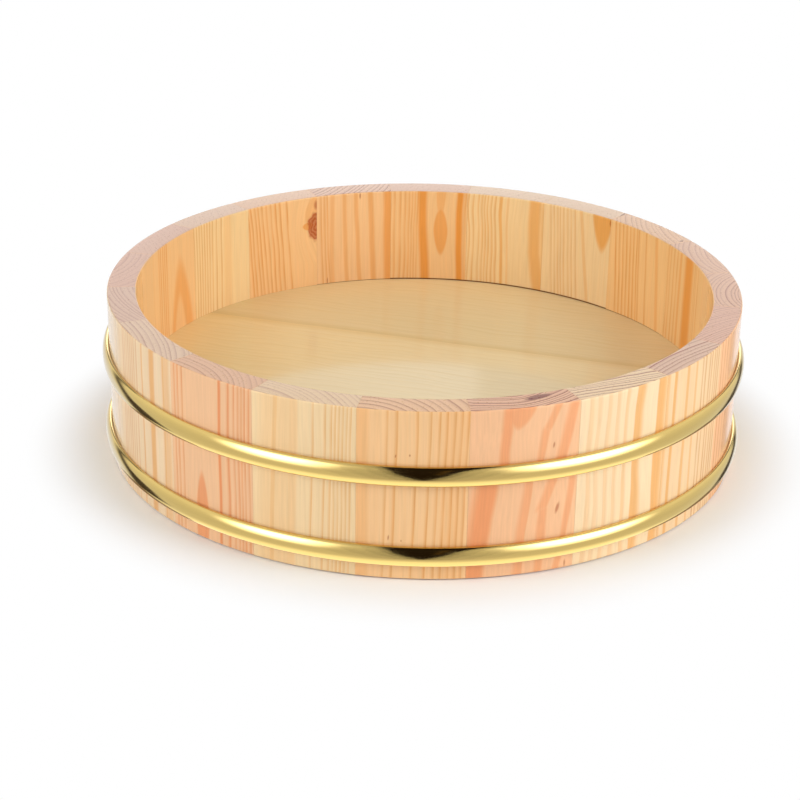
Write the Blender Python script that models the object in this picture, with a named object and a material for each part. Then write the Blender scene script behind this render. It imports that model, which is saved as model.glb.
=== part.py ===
"""A coopered sushi rice tub.

Upright softwood staves are pinned edge to edge with bamboo and held by two driven brass hoops. A base of
three boards sits in a groove cut round the inside of the staves, well above the foot.

Units are metres, +Z is up, the tub's axis is the Z axis and its foot stands on z = 0. The front is at -Y.
"""

import math

import bmesh
import bpy
from mathutils import Matrix

MM = 0.001

# Wall: a slightly tapered ring of boards planed to nearly one thickness
HEIGHT = 70 * MM
RIM_DIAMETER = 265 * MM
FOOT_DIAMETER = 263.6 * MM
WALL_AT_RIM = 12.0 * MM
WALL_AT_FOOT = 12.1 * MM
EDGE_BEVEL = 0.6 * MM

# Pieces that touch on the real tub keep this gap
FIT_GAP = 0.3 * MM

# Round surfaces are drawn with facets about this wide
FACET_ANGLE = math.radians(3)
HOOP_FACETS = 96

# Staves, anticlockwise from the joint at the left of the front one: width along the rim in mm, and tone
FIRST_JOINT = math.radians(-100.5)
STAVES = (
    (42.5, "amber"),
    (43.5, "rose"),
    (43.0, "cream"),
    (41.0, "cream"),
    (42.5, "rose"),
    (41.0, "amber"),
    (41.5, "amber"),
    (43.5, "amber"),
    (40.0, "cream"),
    (41.0, "cream"),
    (39.5, "amber"),
    (39.5, "amber"),
    (40.0, "amber"),
    (39.0, "cream"),
    (41.5, "amber"),
    (42.5, "amber"),
    (41.0, "cream"),
    (45.5, "cream"),
    (42.5, "rose"),
    (42.5, "cream"),
)

# Base: boards joined side by side, trimmed to a disc and held in a groove in the staves
BASE_TOP = 26.5 * MM
BASE_THICKNESS = 9 * MM
BASE_DIAMETER = 247 * MM
BASE_TURN = math.radians(-15.5)
BASE_BOARD_WIDTH = 84 * MM
BASE_BOARDS = ("base_board_front", "base_board_middle", "base_board_back")
GROOVE_TOP_GAP = 0.4 * MM

# Hoops: half-round bands rolled from sheet
HOOP_HEIGHT = 8.3 * MM
HOOP_PROUD = 2.8 * MM
HOOP_SHEET = 0.8 * MM
HOOP_ARC_STEPS = 6
HOOPS = (("lower_hoop", 10.1 * MM), ("upper_hoop", 43.65 * MM))

# Bamboo pins: round, thickest in the middle, one across each stave joint and two across each base joint
PIN_LENGTH = 16 * MM
PIN_DIAMETER = 3.0 * MM
PIN_END_DIAMETER = 2.4 * MM
PIN_FACETS = 12
STAVE_PIN_HEIGHT = 52 * MM
BASE_PIN_PLACES = (("left", -48 * MM), ("right", 48 * MM))

# Colours are linear RGB
TONES = {
    "amber": (0.82, 0.46, 0.20),
    "rose": (0.84, 0.50, 0.30),
    "cream": (0.90, 0.66, 0.40),
    "base": (0.74, 0.53, 0.28),
    "bamboo": (0.72, 0.55, 0.28),
    "brass": (0.73, 0.55, 0.17),
}


def clear_scene():
    for item in list(bpy.data.objects):
        bpy.data.objects.remove(item, do_unlink=True)


def make_material(tone, roughness, metallic=0.0):
    material = bpy.data.materials.new(tone)
    material.use_nodes = True
    shader = material.node_tree.nodes["Principled BSDF"]
    shader.inputs["Base Color"].default_value = (*TONES[tone], 1.0)
    shader.inputs["Roughness"].default_value = roughness
    shader.inputs["Metallic"].default_value = metallic
    return material


def outer_radius(z):
    """Radius of the outside of the wall at a height."""
    return (FOOT_DIAMETER + (RIM_DIAMETER - FOOT_DIAMETER) * z / HEIGHT) / 2


def inner_radius(z):
    """Radius of the inside of the wall at a height, without the groove."""
    wall = WALL_AT_FOOT + (WALL_AT_RIM - WALL_AT_FOOT) * z / HEIGHT
    return outer_radius(z) - wall


def add_object(name, bm, material, sharp_angle=math.radians(30)):
    """Turn a closed bmesh into a named object, smooth where its faces nearly agree."""
    bmesh.ops.recalc_face_normals(bm, faces=bm.faces)
    mesh = bpy.data.meshes.new(name)
    bm.to_mesh(mesh)
    bm.free()
    mesh.shade_smooth()
    mesh.set_sharp_from_angle(angle=sharp_angle)
    if material:
        mesh.materials.append(material)
    item = bpy.data.objects.new(name, mesh)
    bpy.context.scene.collection.objects.link(item)
    return item


def turned(name, profile, steps, material, closed):
    """Spin a profile of (radius, height) points right round the Z axis."""
    bm = bmesh.new()
    verts = [bm.verts.new((radius, 0, z)) for radius, z in profile]
    for first, second in zip(verts, verts[1:]):
        bm.edges.new((first, second))
    if closed:
        bm.edges.new((verts[-1], verts[0]))
    bmesh.ops.spin(bm, geom=bm.verts[:] + bm.edges[:], cent=(0, 0, 0), axis=(0, 0, 1),
                   angle=math.tau, steps=steps)
    bmesh.ops.remove_doubles(bm, verts=bm.verts, dist=0.001 * MM)
    return add_object(name, bm, material)


def stave_profile():
    """Section of a stave as (radius, height) points: up the outside, over the rim, down past the groove."""
    groove_low = BASE_TOP - BASE_THICKNESS - FIT_GAP
    groove_high = BASE_TOP + GROOVE_TOP_GAP
    groove_radius = BASE_DIAMETER / 2 + FIT_GAP
    top = HEIGHT - EDGE_BEVEL
    return (
        (outer_radius(0) - EDGE_BEVEL, 0),
        (outer_radius(EDGE_BEVEL), EDGE_BEVEL),
        (outer_radius(top), top),
        (outer_radius(HEIGHT) - EDGE_BEVEL, HEIGHT),
        (inner_radius(HEIGHT) + EDGE_BEVEL, HEIGHT),
        (inner_radius(top), top),
        (inner_radius(groove_high), groove_high),
        (groove_radius, groove_high),
        (groove_radius, groove_low),
        (inner_radius(groove_low), groove_low),
        (inner_radius(EDGE_BEVEL), EDGE_BEVEL),
        (inner_radius(0) + EDGE_BEVEL, 0),
    )


def make_stave(name, start, end, material):
    """One stave between two joint angles, with half the joint gap taken off each edge."""
    trim = FIT_GAP / 2 / inner_radius(0)
    sweep = end - start - 2 * trim
    bm = bmesh.new()
    face = bm.faces.new([bm.verts.new((radius, 0, z)) for radius, z in stave_profile()])
    bmesh.ops.rotate(bm, verts=bm.verts, matrix=Matrix.Rotation(start + trim, 3, "Z"))
    bmesh.ops.spin(bm, geom=[face, *face.edges, *face.verts], cent=(0, 0, 0), axis=(0, 0, 1),
                   angle=sweep, steps=round(sweep / FACET_ANGLE))
    return add_object(name, bm, material)


def joint_angles():
    """Angles of the joints between staves, one more than there are staves."""
    around = sum(width for width, tone in STAVES)
    angles = [FIRST_JOINT]
    for width, tone in STAVES:
        angles.append(angles[-1] + math.tau * width / around)
    return angles


def pin_profile(radius, end_radius, length):
    end = length / 2
    return ((0, end), (end_radius, end), (radius, 0), (end_radius, -end), (0, -end))


def make_pin(name, location, turn, material):
    """A bamboo pin and the cutter for its socket, lying level across a joint that runs at the given turn."""
    profile = pin_profile(PIN_DIAMETER / 2, PIN_END_DIAMETER / 2, PIN_LENGTH)
    pin = turned(name, profile, PIN_FACETS, material, closed=False)
    socket_radius = PIN_DIAMETER / 2 + FIT_GAP
    profile = pin_profile(socket_radius, socket_radius, PIN_LENGTH + 2 * FIT_GAP)
    cutter = turned(name + "_socket", profile, PIN_FACETS, None, closed=False)
    cutter.hide_render = True
    cutter.display_type = "WIRE"
    for item in (pin, cutter):
        item.location = location
        item.rotation_euler = (math.radians(-90), 0, turn)
    return cutter


def cut_socket(item, cutter):
    cut = item.modifiers.new(cutter.name, "BOOLEAN")
    cut.object = cutter


def make_wall(tones, bamboo):
    """The ring of staves and the pins across their joints."""
    angles = joint_angles()
    staves = []
    for number, (width, tone) in enumerate(STAVES):
        name = f"stave_{number + 1:02d}"
        staves.append(make_stave(name, angles[number], angles[number + 1], tones[tone]))
    pin_circle = (outer_radius(STAVE_PIN_HEIGHT) + inner_radius(STAVE_PIN_HEIGHT)) / 2
    for number, stave in enumerate(staves):
        turn = angles[number]
        place = (pin_circle * math.cos(turn), pin_circle * math.sin(turn), STAVE_PIN_HEIGHT)
        cutter = make_pin(f"stave_pin_{number + 1:02d}", place, turn, bamboo)
        cut_socket(stave, cutter)
        cut_socket(staves[number - 1], cutter)


def arc_angles(start, end):
    steps = max(1, round((end - start) / FACET_ANGLE))
    return [start + (end - start) * step / steps for step in range(steps + 1)]


def board_outline(low, high):
    """Anticlockwise outline of the part of the base disc between two levels across the grain."""
    radius = BASE_DIAMETER / 2
    low_angle = math.asin(max(-1, low / radius))
    high_angle = math.asin(min(1, high / radius))
    angles = arc_angles(low_angle, high_angle)
    angles += [math.pi - angle for angle in reversed(angles) if abs(math.cos(angle)) > 1e-6]
    return [(radius * math.cos(angle), radius * math.sin(angle)) for angle in angles]


def make_base_board(name, low, high, material):
    bm = bmesh.new()
    bottom = BASE_TOP - BASE_THICKNESS
    face = bm.faces.new([bm.verts.new((x, y, bottom)) for x, y in board_outline(low, high)])
    raised = bmesh.ops.extrude_face_region(bm, geom=[face])["geom"]
    bmesh.ops.translate(bm, vec=(0, 0, BASE_THICKNESS),
                        verts=[item for item in raised if isinstance(item, bmesh.types.BMVert)])
    board = add_object(name, bm, material)
    board.rotation_euler = (0, 0, BASE_TURN)
    return board


def make_base(material, bamboo):
    """Boards side by side, front to back, and the pins across their joints."""
    half = BASE_DIAMETER / 2
    joints = (-BASE_BOARD_WIDTH / 2, BASE_BOARD_WIDTH / 2)
    lows = (-half, joints[0] + FIT_GAP / 2, joints[1] + FIT_GAP / 2)
    highs = (joints[0] - FIT_GAP / 2, joints[1] - FIT_GAP / 2, half)
    boards = [make_base_board(name, low, high, material)
              for name, low, high in zip(BASE_BOARDS, lows, highs)]
    turn = Matrix.Rotation(BASE_TURN, 3, "Z")
    for side, level, pair in (("front", joints[0], boards[:2]), ("back", joints[1], boards[1:])):
        for end, along in BASE_PIN_PLACES:
            place = turn @ Matrix.Translation((along, level, BASE_TOP - BASE_THICKNESS / 2)).translation
            cutter = make_pin(f"base_pin_{side}_{end}", place, BASE_TURN, bamboo)
            for board in pair:
                cut_socket(board, cutter)


def hoop_profile(middle):
    """Section of a hoop: down its round outside, then back up inside the sheet."""
    back = outer_radius(middle + HOOP_HEIGHT / 2) + FIT_GAP
    proud = outer_radius(middle) + HOOP_PROUD - back
    points = []
    for thinner, steps in ((0, range(HOOP_ARC_STEPS + 1)), (HOOP_SHEET, range(HOOP_ARC_STEPS, -1, -1))):
        for step in steps:
            angle = math.pi * step / HOOP_ARC_STEPS
            radius = back + (proud - thinner) * math.sin(angle)
            points.append((radius, middle + (HOOP_HEIGHT / 2 - thinner) * math.cos(angle)))
    return points


def make_hoops(material):
    for name, middle in HOOPS:
        turned(name, hoop_profile(middle), HOOP_FACETS, material, closed=True)


def main():
    clear_scene()
    tones = {tone: make_material(tone, 0.4) for tone in ("amber", "rose", "cream")}
    bamboo = make_material("bamboo", 0.6)
    make_wall(tones, bamboo)
    make_base(make_material("base", 0.3), bamboo)
    make_hoops(make_material("brass", 0.12, metallic=1.0))


main()
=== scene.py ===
"""The sushi rice tub as it looks: pine staves and base, brass hoops, bamboo pins and a studio.

Units are metres unless a name ends in _MM, +Z is up, the tub's axis is the Z axis and its front is at -Y.
"""

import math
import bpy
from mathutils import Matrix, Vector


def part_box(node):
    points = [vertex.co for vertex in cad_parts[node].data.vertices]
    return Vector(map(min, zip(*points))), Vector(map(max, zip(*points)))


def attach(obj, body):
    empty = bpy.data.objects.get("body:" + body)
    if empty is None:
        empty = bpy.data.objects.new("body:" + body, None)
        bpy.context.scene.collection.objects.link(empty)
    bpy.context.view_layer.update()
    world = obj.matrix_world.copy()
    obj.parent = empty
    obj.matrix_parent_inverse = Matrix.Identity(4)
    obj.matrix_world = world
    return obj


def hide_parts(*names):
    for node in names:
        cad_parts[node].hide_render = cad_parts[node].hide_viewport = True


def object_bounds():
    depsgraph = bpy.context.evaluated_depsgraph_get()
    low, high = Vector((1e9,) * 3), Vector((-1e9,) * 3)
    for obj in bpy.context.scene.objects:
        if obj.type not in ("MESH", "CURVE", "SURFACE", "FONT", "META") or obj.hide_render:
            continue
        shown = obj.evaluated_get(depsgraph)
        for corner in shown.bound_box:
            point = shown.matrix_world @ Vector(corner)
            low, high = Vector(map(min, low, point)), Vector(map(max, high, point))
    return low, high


bl_info = {
    "name": "Sushi Rice Tub",
    "version": (1, 0, 0),
    "blender": (4, 5, 0),
    "location": "3D View > Sidebar > Rice Tub",
    "description": "Builds the visible pieces of a coopered rice tub on its packed frame",
    "category": "Object",
}

from typing import NamedTuple

import bmesh
import bpy
from bpy.props import FloatProperty, FloatVectorProperty, PointerProperty
from mathutils import Matrix, Quaternion, Vector

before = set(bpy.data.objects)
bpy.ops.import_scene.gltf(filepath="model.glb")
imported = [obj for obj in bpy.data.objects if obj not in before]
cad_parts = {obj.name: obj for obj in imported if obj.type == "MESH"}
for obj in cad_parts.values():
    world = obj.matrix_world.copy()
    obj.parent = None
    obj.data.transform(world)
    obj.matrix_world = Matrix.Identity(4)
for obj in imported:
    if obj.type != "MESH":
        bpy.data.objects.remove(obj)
CAD_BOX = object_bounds()

MM = 0.001
HEIGHT = CAD_BOX[1][2]
HEIGHT_MM = HEIGHT / MM
BASE_BOARDS = ("base_board_front", "base_board_middle", "base_board_back")

# Where the groove stands open above the base: the direction, how far to each side, how soon it is full,
# and the share of the gap that is left elsewhere
GAP_MIDDLE = math.radians(72)
GAP_REACH = math.radians(45)
GAP_RISE = math.radians(25)
GAP_LEAST = 0.08


def linear(code):
    """An sRGB hex colour as linear RGB."""
    parts = [int(code[place:place + 2], 16) / 255 for place in (1, 3, 5)]
    return tuple(part / 12.92 if part <= 0.04045 else ((part + 0.055) / 1.055) ** 2.4 for part in parts)


def length(name, description, default):
    return FloatProperty(name=name, description=description, default=default, unit="LENGTH", precision=5)


def colour(name, description, code):
    return FloatVectorProperty(name=name, description=description, default=linear(code), subtype="COLOR",
                               min=0.0, max=1.0)


class TubSizes(bpy.types.PropertyGroup):
    """Sizes of the wooden tub and its hoops."""
    rim_diameter: length("Rim diameter", "Outside of the wall at the rim", 265 * MM)
    foot_diameter: length("Foot diameter", "Outside of the wall at the foot", 263.6 * MM)
    wall_at_rim: length("Wall at rim", "Thickness of the wall at the rim", 12.0 * MM)
    wall_at_foot: length("Wall at foot", "Thickness of the wall at the foot", 12.1 * MM)
    rim_round: length("Rim rounding", "Radius of the rim's sanded edges", 0.6 * MM)
    foot_round: length("Foot rounding", "Radius of the foot's sanded edges", 0.6 * MM)
    joint_line: length("Joint line", "Gap between neighbouring boards", 0.04 * MM)
    joint_round: length("Joint rounding", "Broken edge along a joint", 0.07 * MM)
    groove_gap: length("Groove gap", "Widest gap between the base and the top of its groove", 0.27 * MM)
    hoop_sheet: length("Hoop sheet", "Thickness of the rolled sheet", 0.8 * MM)
    hoop_edge: length("Hoop edge", "Radius of the rolled edges of a hoop", 0.6 * MM)
    hoop_fit: length("Hoop fit", "Gap between a hoop and the wall", 0.05 * MM)


class TubColours(bpy.types.PropertyGroup):
    """Colours of the woods and the brass."""
    amber_pale: colour("Amber, early wood", "Soft wood of the amber staves", "#F2C58C")
    amber_deep: colour("Amber, deep bands", "Broad bands of the amber staves", "#E6922E")
    rose_pale: colour("Rose, early wood", "Soft wood of the rose staves", "#F2C194")
    rose_deep: colour("Rose, deep bands", "Broad bands of the rose staves", "#E98543")
    cream_pale: colour("Cream, early wood", "Soft wood of the cream staves", "#F7DAB0")
    cream_deep: colour("Cream, deep bands", "Broad bands of the cream staves", "#ECA650")
    growth_line: colour("Growth line", "Thin dark end of a year's growth", "#C67A24")
    end_grain: colour("End grain", "Sawn end of a stave", "#CEA294")
    end_line: colour("End grain line", "Growth line on the sawn end of a stave", "#9A4A38")
    end_knot: colour("End grain knot", "Knot on the sawn end of a stave", "#6E1810")
    knot: colour("Knot", "Heart of a knot", "#B0501A")
    base_pale: colour("Base, early wood", "Soft wood of the base boards", "#F5E0B2")
    base_deep: colour("Base, late wood", "Growth lines of the base boards", "#E2C183")
    # Painted shade: the groove colour stands for the shade where the groove stands open round the base
    groove: colour("Groove", "Lacquer gathered in the groove round the base", "#84420A")
    bamboo: colour("Bamboo", "Split bamboo of the pins", "#D9BE86")
    brass: colour("Brass", "Polished brass of the hoops", "#DEC380")


class StudioLight(bpy.types.PropertyGroup):
    """Lamps of the studio."""
    left_power: FloatProperty(name="Left lamp", description="Power of the left lamp", default=5.7,
                              unit="POWER")
    right_power: FloatProperty(name="Right lamp", description="Power of the right lamp", default=6.9,
                               unit="POWER")
    sky: FloatProperty(name="Tent light", description="Strength of the white tent on matt surfaces",
                       default=0.45)


def sizes():
    return bpy.context.scene.rice_tub_sizes


def colours():
    return bpy.context.scene.rice_tub_colours


def outer_radius(z):
    """Radius of the outside of the wall at a height."""
    s = sizes()
    return (s.foot_diameter + (s.rim_diameter - s.foot_diameter) * z / HEIGHT) / 2


def inner_radius(z):
    """Radius of the inside of the wall at a height, without the groove."""
    s = sizes()
    return outer_radius(z) - (s.wall_at_foot + (s.wall_at_rim - s.wall_at_foot) * z / HEIGHT)


def middle_radius():
    """Radius of the middle of the wall at the rim, where a stave keeps its origin."""
    return (outer_radius(HEIGHT) + inner_radius(HEIGHT)) / 2


# Materials


def add(tree, kind, inputs=None, out=0, **settings):
    """Add a shader node with its settings and links, and give back the output that is wanted."""
    item = tree.nodes.new("ShaderNode" + kind)
    for name, value in settings.items():
        setattr(item, name, value)
    for key, value in (inputs or {}).items():
        if isinstance(value, bpy.types.NodeSocket):
            tree.links.new(value, item.inputs[key])
        else:
            item.inputs[key].default_value = value
    return item.outputs[out]


def rgba(tint):
    return (*tint[:3], 1.0)


def grey(level):
    return (level, level, level, 1.0)


def new_material(name):
    """An empty material, its nodes and the socket that takes its surface."""
    material = bpy.data.materials.new(name)
    material.use_nodes = True
    tree = material.node_tree
    tree.nodes.clear()
    return material, tree, tree.nodes.new("ShaderNodeOutputMaterial").inputs["Surface"]


def place_in_mm(tree):
    """The place on a piece in its own frame, in millimetres."""
    metres = add(tree, "TexCoord", out="Object")
    return add(tree, "VectorMath", {0: metres, "Scale": 1 / MM}, operation="SCALE")


# Sizes of the grain in mm, twice across a plank and once along it: waves of its rings, and single fibres.
# Lines fade in a pattern that is this much finer than the waves
WAVE_MM = (20, 20, 40)
FIBRE_MM = (0.8, 0.8, 26)
FADE_FINER = (5, 5, 2)

# Rings are spaced unevenly: by this many years at most, and this quickly from year to year
RING_UNEVEN = 1.3
RING_DRIFT = 0.37

# How dark the wood is as a year begins, through it (share of the year, darkness) and as it ends
RING_FIRST = 0.3
RING_LEVELS = ((0.08, 0.0), (0.5, 0.08), (0.75, 0.4), (0.92, 1.0))
RING_LAST = 0.6


def growth_rings():
    """Growth rings of a plank as a node group: its grain runs along z, and lengths are millimetres."""
    tree = bpy.data.node_groups.new("growth_rings", "ShaderNodeTree")
    sockets = {"Place": "Vector", "Pith": "Vector", "Ring": "Float", "Wander": "Float", "Seed": "Float"}
    for name, kind in sockets.items():
        tree.interface.new_socket(name, in_out="INPUT", socket_type="NodeSocket" + kind)
    for name, kind in (("Place", "Vector"), ("Line", "Float"), ("Fade", "Float"), ("Fibre", "Float")):
        tree.interface.new_socket(name, in_out="OUTPUT", socket_type="NodeSocket" + kind)
    given = tree.nodes.new("NodeGroupInput").outputs
    wave_at = add(tree, "VectorMath", {0: given["Place"], 1: WAVE_MM}, operation="DIVIDE")
    seeded = add(tree, "VectorMath", {0: wave_at, 1: given["Seed"]}, operation="ADD")
    wave = add(tree, "TexNoise", {"Vector": seeded, "Scale": 1.0, "Detail": 1.5}, out="Color")
    wave = add(tree, "VectorMath", {0: wave, 1: (0.5, 0.5, 0.5)}, operation="SUBTRACT")
    wave = add(tree, "VectorMath", {0: wave, "Scale": given["Wander"]}, operation="SCALE")
    place = add(tree, "VectorMath", {0: given["Place"], 1: wave}, operation="ADD")
    apart = add(tree, "VectorMath", {0: place, 1: given["Pith"]}, operation="SUBTRACT")
    level = add(tree, "VectorMath", {0: apart, 1: (1, 1, 0)}, operation="MULTIPLY")
    distance = add(tree, "VectorMath", {0: level}, out="Value", operation="LENGTH")
    years = add(tree, "Math", {0: distance, 1: given["Ring"]}, operation="DIVIDE")
    slow = add(tree, "Math", {0: years, 1: RING_DRIFT, 2: given["Seed"]}, operation="MULTIPLY_ADD")
    uneven = add(tree, "TexNoise", {"W": slow, "Scale": 1.0, "Detail": 1.0}, noise_dimensions="1D")
    years = add(tree, "Math", {0: uneven, 1: RING_UNEVEN, 2: years}, operation="MULTIPLY_ADD")
    part = add(tree, "Math", {0: years}, operation="FRACT")
    line = add(tree, "ValToRGB", {0: part})
    stops = line.node.color_ramp.elements
    stops[0].color = grey(RING_FIRST)
    stops[1].color = grey(RING_LAST)
    for at, level in RING_LEVELS:
        stops.new(at).color = grey(level)
    number = add(tree, "Math", {0: years}, operation="FLOOR")
    year = add(tree, "TexWhiteNoise", {"W": number}, noise_dimensions="1D")
    strong = add(tree, "MapRange", {"Value": year, 3: 0.45, 4: 1.0})
    line = add(tree, "Math", {0: line, 1: strong}, operation="MULTIPLY")
    fade_at = add(tree, "VectorMath", {0: seeded, 1: FADE_FINER}, operation="MULTIPLY")
    fade = add(tree, "TexNoise", {"Vector": fade_at, "Scale": 1.0, "Detail": 1.0})
    fade = add(tree, "MapRange", {"Value": fade, 1: 0.3, 2: 0.65, 3: 0.55, 4: 1.0})
    fibre_at = add(tree, "VectorMath", {0: place, 1: FIBRE_MM}, operation="DIVIDE")
    fibre = add(tree, "TexNoise", {"Vector": fibre_at, "Scale": 1.0, "Detail": 3.0})
    result = tree.nodes.new("NodeGroupOutput")
    for name, socket in (("Place", place), ("Line", line), ("Fade", fade), ("Fibre", fibre)):
        tree.links.new(socket, result.inputs[name])
    return tree


class Plank(NamedTuple):
    """Grain of one stave, in mm. A place is measured along the rim from the stave's middle, to the right
    seen from outside, and the pith from the middle of the wall, to the right and into the tub."""
    tone: str
    pith: tuple
    seen: str = "outside"
    shade: float = 1.0
    stain: float = 0.0
    yellow: float = 0.0
    lean: float = 0.0
    ring: float = 2.2
    wander: float = 1.6
    rings: float = 0.1
    lines: tuple = ()
    line_depth: float = 0.72
    line_brown: float = 0.25
    streaks: tuple = ()
    flames: tuple = ()
    marks: tuple = ()
    knots: tuple = ()
    end_rings: float = 0.5
    end_warmth: float = 0.2
    end_marks: tuple = ()


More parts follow.
